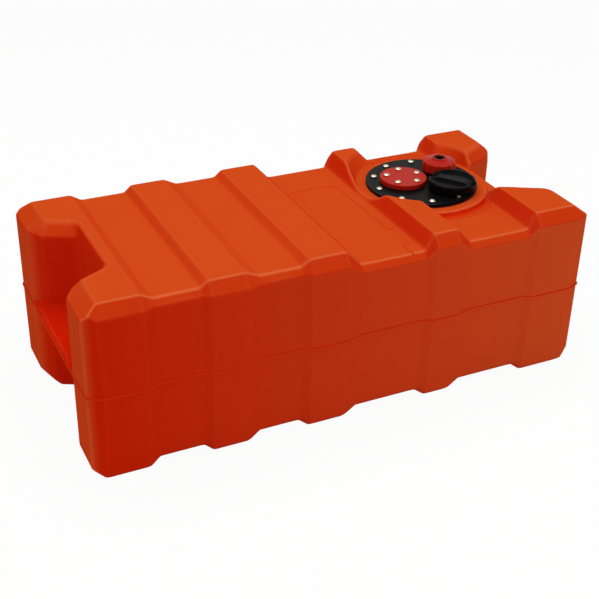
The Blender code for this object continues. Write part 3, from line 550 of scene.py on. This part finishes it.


# The tank's skin: colours as sRGB hex, places and sizes in metres, and a facing is the normal's
# upward share. Each pair runs from none of an effect to all of it. The colours paint light and shade:
# a shaded red for the sides, a painted sheen over them, a paler painted top light and a painted edge
# highlight.
skinSpec = {
    "shaded": "#D62204", "sheenColour": "#DA5024", "skyLit": "#D94E1B", "edge": "#F8905C",
    "roughness": 0.32, "grainSize": 0.0045, "grainDepth": 0.00005,
    # the sides' painted sheen: along the tank, on upright faces, and at both ends
    "sheenAlong": (-0.40, 0.40), "sheenFacing": (0.5, 0.1),
    "endSheen": (0.386, 0.398), "endSheenShare": 0.7,
    # the painted top light: its random sway and the upward facing over which it comes in
    "cloudScale": 9.0, "cloudSway": 0.10, "skyFacing": (0.35, 1.0),
    # painted shade: below this height and in the seat's dip the top light is left out
    "litHeight": (0.15, 0.24), "dipShadeShare": 0.85,
    # how strong the painted edge highlight is, by upward facing
    "highlightFacing": (0.0, 0.8), "highlightShares": (0.10, 0.30),
}


def paintedLightPlastic(name, spec):
    # Rotomoulded polyethylene: a waxy satin skin with no mirror shine, whose light is painted into
    # its colour: a deep red orange painted shade on its sides, a painted sheen that grows towards the
    # fittings end, a paler painted top light on what faces up, and a painted highlight along its
    # outer edges.
    # The mould's grain is finer than a millimetre in truth, and is drawn coarser to show.
    material, tree, shader = newMaterial(name, spec["shaded"], spec["roughness"], ior=1.51)
    shader.inputs["Specular IOR Level"].default_value = 0.0
    place = addNode(tree, "ShaderNodeTexCoord")
    facing = addNode(tree, "ShaderNodeSeparateXYZ", links=[(place, "Normal", "Vector")])
    spot = addNode(tree, "ShaderNodeSeparateXYZ", links=[(place, "Object", "Vector")])

    # the painted sheen on the sides grows along the tank, and at both ends
    low, high = spec["sheenAlong"]
    along = addNode(tree, "ShaderNodeMapRange", inputs={"From Min": low, "From Max": high},
                    links=[(spot, "X", "Value")])
    low, high = spec["sheenFacing"]
    upright = addNode(tree, "ShaderNodeMapRange", inputs={"From Min": low, "From Max": high},
                      links=[(facing, "Z", "Value")])
    outward = addNode(tree, "ShaderNodeMath", {"operation": "ABSOLUTE"}, links=[(spot, "X", 0)])
    low, high = spec["endSheen"]
    endSheen = addNode(tree, "ShaderNodeMapRange", inputs={"From Min": low, "From Max": high,
                                                            "To Max": spec["endSheenShare"]},
                        links=[(outward, "Value", "Value")])
    paler = addNode(tree, "ShaderNodeMath", {"operation": "MAXIMUM"},
                    links=[(along, "Result", 0), (endSheen, "Result", 1)])
    sheenShare = addNode(tree, "ShaderNodeMath", {"operation": "MULTIPLY"},
                   links=[(paler, "Value", 0), (upright, "Result", 1)])
    sides = addNode(tree, "ShaderNodeMix", {"data_type": "RGBA"},
                    {6: toLinear(spec["shaded"]), 7: toLinear(spec["sheenColour"])},
                    [(sheenShare, "Value", 0)])

    # the painted top light follows the upward facing, swayed by clouds, above the lower tank and
    # outside the dip round the seat; below it and in the dip the sides' painted shade stays
    cloud = addNode(tree, "ShaderNodeTexNoise", inputs={"Scale": spec["cloudScale"], "Detail": 3.0},
                    links=[(place, "Object", "Vector")])
    sway = addNode(tree, "ShaderNodeMapRange", inputs={"To Min": -spec["cloudSway"],
                                                       "To Max": spec["cloudSway"]},
                   links=[(cloud, "Fac", "Value")])
    upward = addNode(tree, "ShaderNodeMath", {"operation": "ADD"},
                     links=[(facing, "Z", 0), (sway, "Result", 1)])
    low, high = spec["skyFacing"]
    skyward = addNode(tree, "ShaderNodeMapRange", inputs={"From Min": low, "From Max": high},
                      links=[(upward, "Value", "Value")])
    low, high = spec["litHeight"]
    aboveLowShade = addNode(tree, "ShaderNodeMapRange", inputs={"From Min": low, "From Max": high},
                          links=[(spot, "Z", "Value")])
    dip = addNode(tree, "ShaderNodeAttribute", {"attribute_name": "paintedDipShade"})
    outsideDipShade = addNode(tree, "ShaderNodeMath", {"operation": "MULTIPLY_ADD", "use_clamp": True},
                        {1: -spec["dipShadeShare"], 2: 1.0}, [(dip, "Fac", 0)])
    unshaded = addNode(tree, "ShaderNodeMath", {"operation": "MULTIPLY"},
                      links=[(outsideDipShade, "Value", 0), (aboveLowShade, "Result", 1)])
    share = addNode(tree, "ShaderNodeMath", {"operation": "MULTIPLY"},
                    links=[(skyward, "Result", 0), (unshaded, "Value", 1)])
    litAndShaded = addNode(tree, "ShaderNodeMix", {"data_type": "RGBA"}, {7: toLinear(spec["skyLit"])},
                   [(share, "Value", 0), (sides, 2, 6)])

    # the painted highlight along outer edges, strongest where they face up
    bend = addNode(tree, "ShaderNodeAttribute", {"attribute_name": "edgeBend"})
    (low, high), (least, most) = spec["highlightFacing"], spec["highlightShares"]
    facingHighlight = addNode(tree, "ShaderNodeMapRange", inputs={"From Min": low, "From Max": high,
                                                          "To Min": least, "To Max": most},
                      links=[(facing, "Z", "Value")])
    edgeHighlight = addNode(tree, "ShaderNodeMath", {"operation": "MULTIPLY"},
                     links=[(bend, "Fac", 0), (facingHighlight, "Result", 1)])
    colour = addNode(tree, "ShaderNodeMix", {"data_type": "RGBA"}, {7: toLinear(spec["edge"])},
                     [(edgeHighlight, "Value", 0), (litAndShaded, 2, 6)])
    tree.links.new(colour.outputs[2], shader.inputs["Base Color"])
    addGrain(tree, shader, place, spec["roughness"], spec["grainSize"], spec["grainDepth"])
    return material


orangePolyethylene = paintedLightPlastic("rotomouldedPolyethyleneOrange", skinSpec)
# Glass-filled nylon has a fine, even satin skin with a dull shine.
blackNylon = grainedFinish("mouldedNylonBlack", "#070707", "#0B0A0A", 0.38, 0.0012, 0.00003, 0.035)
redNylon = grainedFinish("mouldedNylonRed", "#B41A0B", "#BA200D", 0.38, 0.0012, 0.00003, 0.07)
# Nitrile rubber is matt, and drinks light.
nitrileRubber = grainedFinish("nitrileRubber", "#3A0A08", "#420C0A", 0.6, 0.0010, 0.00003, 0.3)
# Unfilled nylon and polyethylene are a waxy off-white.
naturalNylon = grainedFinish("naturalNylon", "#D8D4C4", "#DEDACC", 0.45, 0.0012, 0.00002)
milkyTube = grainedFinish("milkyPolyethyleneTube", "#D2D2CC", "#DADAD4", 0.38, 0.0012, 0.00002)
# Cold-headed and tumbled screws shine softly, with fine dull spots.
stainlessSteel = grainedFinish("stainlessSteelPolished", "#C4BBA6", "#CFC8B6", 0.24, 0.0010, 0.00002,
                               metallic=1.0)
# Brass inserts keep the lathe's fine marks.
turnedBrass = grainedFinish("turnedBrass", "#C8A050", "#D0AC60", 0.30, 0.0010, 0.00002, metallic=1.0)

finishes = {
    "orange_polyethylene": orangePolyethylene, "black_nylon": blackNylon, "red_nylon": redNylon,
    "nitrile_rubber": nitrileRubber, "stainless_steel": stainlessSteel,
    "turned_brass": turnedBrass, "natural_nylon": naturalNylon, "milky_polyethylene": milkyTube,
}
for part in frame["record"]["subparts"]:
    node = frame["nodes"][part["node"]]
    node.data.materials.clear()
    node.data.materials.append(finishes[part["material_slot"]])
print("materials: done")

makeTank(orangePolyethylene)


# Faint raised lines in the recess floors: the edge of a moulded plate area in the third
# one, and the ring round the flange seat's dip in the last one

beadSpec = {
    "plate": ((10.0, 88.3), (74.0, 93.0), (95.0, 88.5), (97.4, 75.0), (99.8, -81.5), (114.6, -79.6),
              (115.0, -98.0), (115.0, -131.0), (94.6, -136.6), (95.7, -164.0)),
    "ringRadius": 126.0, "ringFrom": 57.0, "ringTo": 101.0, "ringSteps": 40,
    "floor": 249.9, "halfWidth": 1.2, "proud": 0.9, "columns": 12, "smoothAngle": 50.0,
}


def makeBead(name, path, material):
    # A half-sunk elliptic bead, mitred where its path bends.
    spec = beadSpec
    path = np.array(path)
    step = np.diff(path, axis=0)
    step /= np.linalg.norm(step, axis=1)[:, None]
    before, after = np.vstack([step[:1], step]), np.vstack([step, step[-1:]])
    mid = before + after
    mid /= np.linalg.norm(mid, axis=1)[:, None]
    side = np.stack([-mid[:, 1], mid[:, 0]], 1) / (mid * before).sum(1)[:, None]
    angles = np.linspace(0.0, 2.0 * math.pi, spec["columns"], endpoint=False)
    out = spec["halfWidth"] * np.cos(angles)
    points = np.stack([path[:, 0, None] + side[:, 0, None] * out,
                       path[:, 1, None] + side[:, 1, None] * out,
                       spec["floor"] + spec["proud"] * np.sin(angles) + 0.0 * path[:, :1]], -1)
    poles = [[*path[n], spec["floor"]] for n in (0, -1)]
    makePiece(name, np.vstack([points.reshape(-1, 3), poles]),
              gridFaces(len(path), spec["columns"]), "root", material,
              smoothAngle=spec["smoothAngle"])


def makeBeads(material):
    makeBead("tankPlateEdge", beadSpec["plate"], material)
    turns = np.radians(np.linspace(beadSpec["ringFrom"], beadSpec["ringTo"], beadSpec["ringSteps"]))
    for name, way in (("tankSeatRingFront", -1.0), ("tankSeatRingBack", 1.0)):
        arc = np.stack([tankSpec["seatCentre"][0] + beadSpec["ringRadius"] * np.cos(turns),
                        tankSpec["seatCentre"][1] + way * beadSpec["ringRadius"] * np.sin(turns)], 1)
        makeBead(name, arc, material)


makeBeads(orangePolyethylene)
print("beads: done")


# Filler cap

capSpec = {
    "centre": (255.5, -8.0), "radius": 37.4, "foot": 263.3, "top": 276.1, "crown": 0.7,
    "roof": 269.0, "inside": 24.5, "edge": 2.4, "stem": (2.5, 271.0),
    "barAngle": -54.0, "barHalf": 7.0, "barSlope": 1.6, "barEnd": 14.0, "barDrop": 5.5,
    "scoopDepth": 4.6, "scoopRadius": 34.0, "scoopSlope": 3.0,
    "rows": 60, "columns": 240, "rimRows": 5, "smoothAngle": 32.0,
}


def makeFillerCap(material):
    # The top's height over (radius, angle): a low crown, less two finger scoops that
    # ease in beside the bar and inside the rim, and less a slope at each bar end.
    spec = capSpec
    angles = np.linspace(0.0, 2.0 * math.pi, spec["columns"], endpoint=False)
    flat = spec["radius"] - spec["edge"]
    radius = flat * np.linspace(1.0 / spec["rows"], 1.0, spec["rows"])[:, None]
    lean = angles - math.radians(spec["barAngle"])
    along, across = radius * np.cos(lean), np.abs(radius * np.sin(lean))
    crown = spec["top"] - spec["crown"] * (radius / spec["radius"]) ** 2
    scoop = (easeStep((across - spec["barHalf"]) / spec["barSlope"])
             * easeStep((spec["scoopRadius"] - radius) / spec["scoopSlope"]))
    height = crown - spec["scoopDepth"] * scoop
    barEnd = (easeStep((np.abs(along) - flat + spec["barEnd"]) / spec["barEnd"])
              * (1.0 - easeStep((across - spec["barHalf"]) / spec["barSlope"])))
    height = height - spec["barDrop"] * barEnd * (1.0 - scoop)
    top = np.stack([radius * np.cos(angles), radius * np.sin(angles), height], -1)
    # the rim rounds down from wherever the top ends
    t = np.linspace(0.0, 1.0, spec["rimRows"] + 1)[1:, None]
    rimRadius = flat + spec["edge"] * (1.0 - (1.0 - t) ** 2)
    rimHeight = height[-1] - spec["edge"] * t * t
    rim = np.stack([rimRadius * np.cos(angles), rimRadius * np.sin(angles), rimHeight], -1)
    under = roundedProfile([(spec["radius"], spec["foot"], 0.5), (spec["inside"], spec["foot"], 0.5),
                            (spec["inside"], spec["roof"], 0.0), (spec["stem"][0], spec["roof"], 0.0),
                            (spec["stem"][0], spec["stem"][1], 0.0),
                            (spec["stem"][0] / 2, spec["stem"][1], 0.0)])
    grid = np.concatenate([top, rim, turn(under, angles, (0.0, 0.0))])
    poles = [[0.0, 0.0, spec["top"]], [0.0, 0.0, spec["stem"][1]]]
    points = np.vstack([grid.reshape(-1, 3), poles]) + [*spec["centre"], 0.0]
    makePiece("fillerCapMoulding", points, gridFaces(len(grid), spec["columns"]), "filler_cap",
              material, ("filler_cap",), spec["smoothAngle"])


makeFillerCap(blackNylon)


# Ring nut over the outlet

nutSpec = {
    "centre": (270.0, 56.5), "radius": 27.0, "foot": 263.3, "rimTop": 278.6, "rimFoot": 275.6,
    "coneTop": 280.9, "coneRun": 2.0, "collar": 11.5, "collarTop": 284.1, "bore": 9.3,
    "inside": 19.9, "lobes": 12, "fluteDepth": 1.5, "fluteSharpness": 3.0, "fluteStart": 2.0,
    "fluteRun": 3.0, "columns": 288, "smoothAngle": 32.0,
}


def makeRingNut(material):
    # A turned ring whose outside is drawn in by twelve narrow flutes, as deep as a
    # raised cosine to a power, and only where the section stands near its full radius.
    spec = nutSpec
    profile = roundedProfile([
        (spec["bore"], spec["rimFoot"], 0.0), (spec["inside"], spec["rimFoot"], 0.0),
        (spec["inside"], spec["foot"], 0.5), (spec["radius"], spec["foot"], 0.7),
        (spec["radius"], spec["rimTop"], 1.4),
        (spec["collar"] + spec["coneRun"], spec["coneTop"], 1.5),
        (spec["collar"], spec["collarTop"], 0.9), (spec["bore"], spec["collarTop"], 0.6)])
    angles = np.linspace(0.0, 2.0 * math.pi, spec["columns"], endpoint=False)
    flute = (0.5 + 0.5 * np.cos(spec["lobes"] * angles)) ** spec["fluteSharpness"]
    near = easeStep((profile[:, :1] - spec["inside"] - spec["fluteStart"]) / spec["fluteRun"])
    radius = profile[:, :1] - spec["fluteDepth"] * near * flute
    points = np.stack([spec["centre"][0] + radius * np.cos(angles),
                       spec["centre"][1] + radius * np.sin(angles),
                       profile[:, 1:] + 0.0 * angles], -1)
    makePiece("outletRingNutMoulding", points.reshape(-1, 3),
              gridFaces(len(profile), spec["columns"], ring=True), "ring_nut",
              material, ("outlet_ring_nut",), spec["smoothAngle"])


makeRingNut(redNylon)
print("filler cap and ring nut: done")


# Pan head screws with a cross recess

screwSpec = {
    "head": 4.7, "height": 3.1, "shank": 2.0, "crownPower": 2.6, "crownStart": 0.45,
    "armHalf": 0.85, "armLength": 3.3, "armEndSlope": 0.8, "armRise": 0.4, "recess": 2.3,
    "recessSlope": 0.4, "headBevel": 0.1, "tipBevel": 0.5, "firstTurn": 20.0, "turnStep": 37.0,
    "columns": 64, "rows": 26, "smoothAngle": 40.0,
    # each ring: centre, circle radius, first angle, count, seat height, screw length
    "rings": {"flange_screw": ((223.9, 33.4), 76.8, 0.5, 10, 259.4, 16.5),
              "port_screw": ((197.5, 46.0), 26.8, 6.0, 5, 267.3, 12.5)},
}


def screwPoints(place, length, twist):
    # The head's height over (radius, angle): a crown that falls as a power of the
    # radius, less two crossed slots that grow shallower outwards.
    spec = screwSpec
    angles = np.linspace(0.0, 2.0 * math.pi, spec["columns"], endpoint=False)
    radius = spec["head"] * np.linspace(1.0 / spec["rows"], 1.0, spec["rows"])[:, None]
    crown = spec["height"] * (1.0 - (1.0 - spec["crownStart"]) * (radius / spec["head"])
                              ** spec["crownPower"])
    a = np.abs(radius * np.cos(angles - twist))
    b = np.abs(radius * np.sin(angles - twist))
    long, short = np.maximum(a, b), np.minimum(a, b)
    slot = easeStep((spec["armHalf"] - short) / spec["recessSlope"] + 0.5)
    depth = spec["recess"] * slot * easeStep((spec["armLength"] - long) / spec["armEndSlope"])
    depth = depth * (1.0 - spec["armRise"] * long / spec["armLength"])
    top = np.stack([radius * np.cos(angles), radius * np.sin(angles), crown - depth], -1)
    bevel, tip = spec["headBevel"], spec["tipBevel"]
    under = np.array([(spec["head"], bevel), (spec["head"] - bevel, 0.0), (spec["shank"], 0.0),
                      (spec["shank"], tip - length), (spec["shank"] - tip, -length)])
    grid = np.concatenate([top, turn(under, angles, (0.0, 0.0))])
    poles = [[0.0, 0.0, spec["height"] - spec["recess"]], [0.0, 0.0, -length]]
    return np.vstack([grid.reshape(-1, 3), poles]) + place, len(grid)


def makeScrews(name, centre, circle, first, count, seat, length, material):
    # All the screws of one ring in one mesh, in place of that ring's CAD nodes.
    spec = screwSpec
    points, faces = [], []
    for n in range(count):
        angle = math.radians(first + 360.0 * n / count)
        place = np.array([centre[0] + circle * math.cos(angle),
                          centre[1] + circle * math.sin(angle), seat])
        twist = math.radians(spec["firstTurn"] + spec["turnStep"] * n)
        block, rows = screwPoints(place, length, twist)
        faces += gridFaces(rows, spec["columns"], n * len(block))
        points.append(block)
    makePiece(name + "Heads", np.vstack(points), faces, "root", material,
              tuple(f"{name}_{n + 1}" for n in range(count)), spec["smoothAngle"])


for ringName, ring in screwSpec["rings"].items():
    makeScrews(ringName, *ring, stainlessSteel)
print("screws: done")


# Floor, lamps and camera

studioSpec = {
    "floorRadius": 9.0, "floorSides": 96, "floorColour": "#F4F4F2", "floorRoughness": 0.9,
    "background": 0.95, "fill": 0.29,
    # each lamp: place and target in metres, its disk's diameter, its power in watts
    "lamps": (("overhead", (-0.2, 0.1, 2.6), (0.0, 0.0, 0.1), 2.6, 40.0),
              ("frontRight", (2.2, -2.0, 1.6), (0.1, 0.0, 0.1), 1.6, 15.0),
              ("frontLeft", (-2.4, -1.4, 1.2), (-0.2, 0.0, 0.1), 1.6, 7.0)),
}


def backgroundRays(tree):
    # One where a camera, mirror or glass ray looks, so that all of them see white.
    path = addNode(tree, "ShaderNodeLightPath")
    either = addNode(tree, "ShaderNodeMath", {"operation": "MAXIMUM"},
                     links=[(path, "Is Camera Ray", 0), (path, "Is Glossy Ray", 1)])
    return addNode(tree, "ShaderNodeMath", {"operation": "MAXIMUM"},
                   links=[(either, "Value", 0), (path, "Is Transmission Ray", 1)])


def makeStudio():
    # A pale floor and sky that look white, light the tank evenly, and three soft lamps.
    spec = studioSpec
    bpy.ops.mesh.primitive_circle_add(vertices=spec["floorSides"], radius=spec["floorRadius"],
                                      fill_type="NGON")
    floor = bpy.context.object
    floor.name = "studioFloor"
    material, tree, shader = newMaterial("paleStudioFloor", spec["floorColour"],
                                         spec["floorRoughness"])
    seen = backgroundRays(tree)
    share = addNode(tree, "ShaderNodeMath", {"operation": "MULTIPLY"}, {1: spec["background"]},
                    [(seen, "Value", 0)])
    glow = addNode(tree, "ShaderNodeEmission", inputs={"Color": (1.0, 1.0, 1.0, 1.0),
                                                       "Strength": 1.0})
    mixed = addNode(tree, "ShaderNodeMixShader", links=[(share, "Value", 0), (shader, "BSDF", 1),
                                                       (glow, "Emission", 2)])
    tree.links.new(mixed.outputs["Shader"], tree.nodes["Material Output"].inputs["Surface"])
    floor.data.materials.append(material)

    world = bpy.data.worlds.new("studioWorld")
    bpy.context.scene.world = world
    world.use_nodes = True
    tree = world.node_tree
    sky = tree.nodes["Background"]
    sky.inputs["Color"].default_value = (1.0, 1.0, 1.0, 1.0)
    seen = backgroundRays(tree)
    level = addNode(tree, "ShaderNodeMapRange", inputs={"To Min": spec["fill"], "To Max": 1.0},
                    links=[(seen, "Value", "Value")])
    tree.links.new(level.outputs["Result"], sky.inputs["Strength"])

    for name, place, target, size, power in spec["lamps"]:
        lamp = bpy.data.lights.new(name, "AREA")
        lamp.shape, lamp.size, lamp.energy = "DISK", size, power
        holder = bpy.data.objects.new(name, lamp)
        bpy.context.scene.collection.objects.link(holder)
        back = np.array(place) - np.array(target)
        tilt = math.acos(back[2] / np.linalg.norm(back))
        heading = math.atan2(back[1], back[0]) + math.pi / 2
        holder.location = place
        holder.rotation_euler = (tilt, 0.0, heading)


# The photograph's view: place in metres, and the picture's right, down and forward axes.
cameraSpec = {
    "place": (-0.6993, -1.4217, 1.0281), "lens": 69.79, "sensor": 36.0,
    "right": (0.9035, -0.4280, 0.0204), "down": (-0.1990, -0.4614, -0.8646),
    "forward": (0.3795, 0.7771, -0.5021),
}


def makeCamera():
    camera = bpy.data.cameras.new("photoCamera")
    camera.lens = cameraSpec["lens"]
    camera.sensor_width = cameraSpec["sensor"]
    holder = bpy.data.objects.new("photoCamera", camera)
    bpy.context.scene.collection.objects.link(holder)
    right, down, forward = (cameraSpec[key] for key in ("right", "down", "forward"))
    axes = Matrix([[right[n], -down[n], -forward[n]] for n in range(3)])
    holder.rotation_euler = axes.to_euler()
    holder.location = cameraSpec["place"]
    bpy.context.scene.camera = holder


makeStudio()
makeCamera()
bpy.context.scene.view_settings.view_transform = "Standard"
print("studio: done")
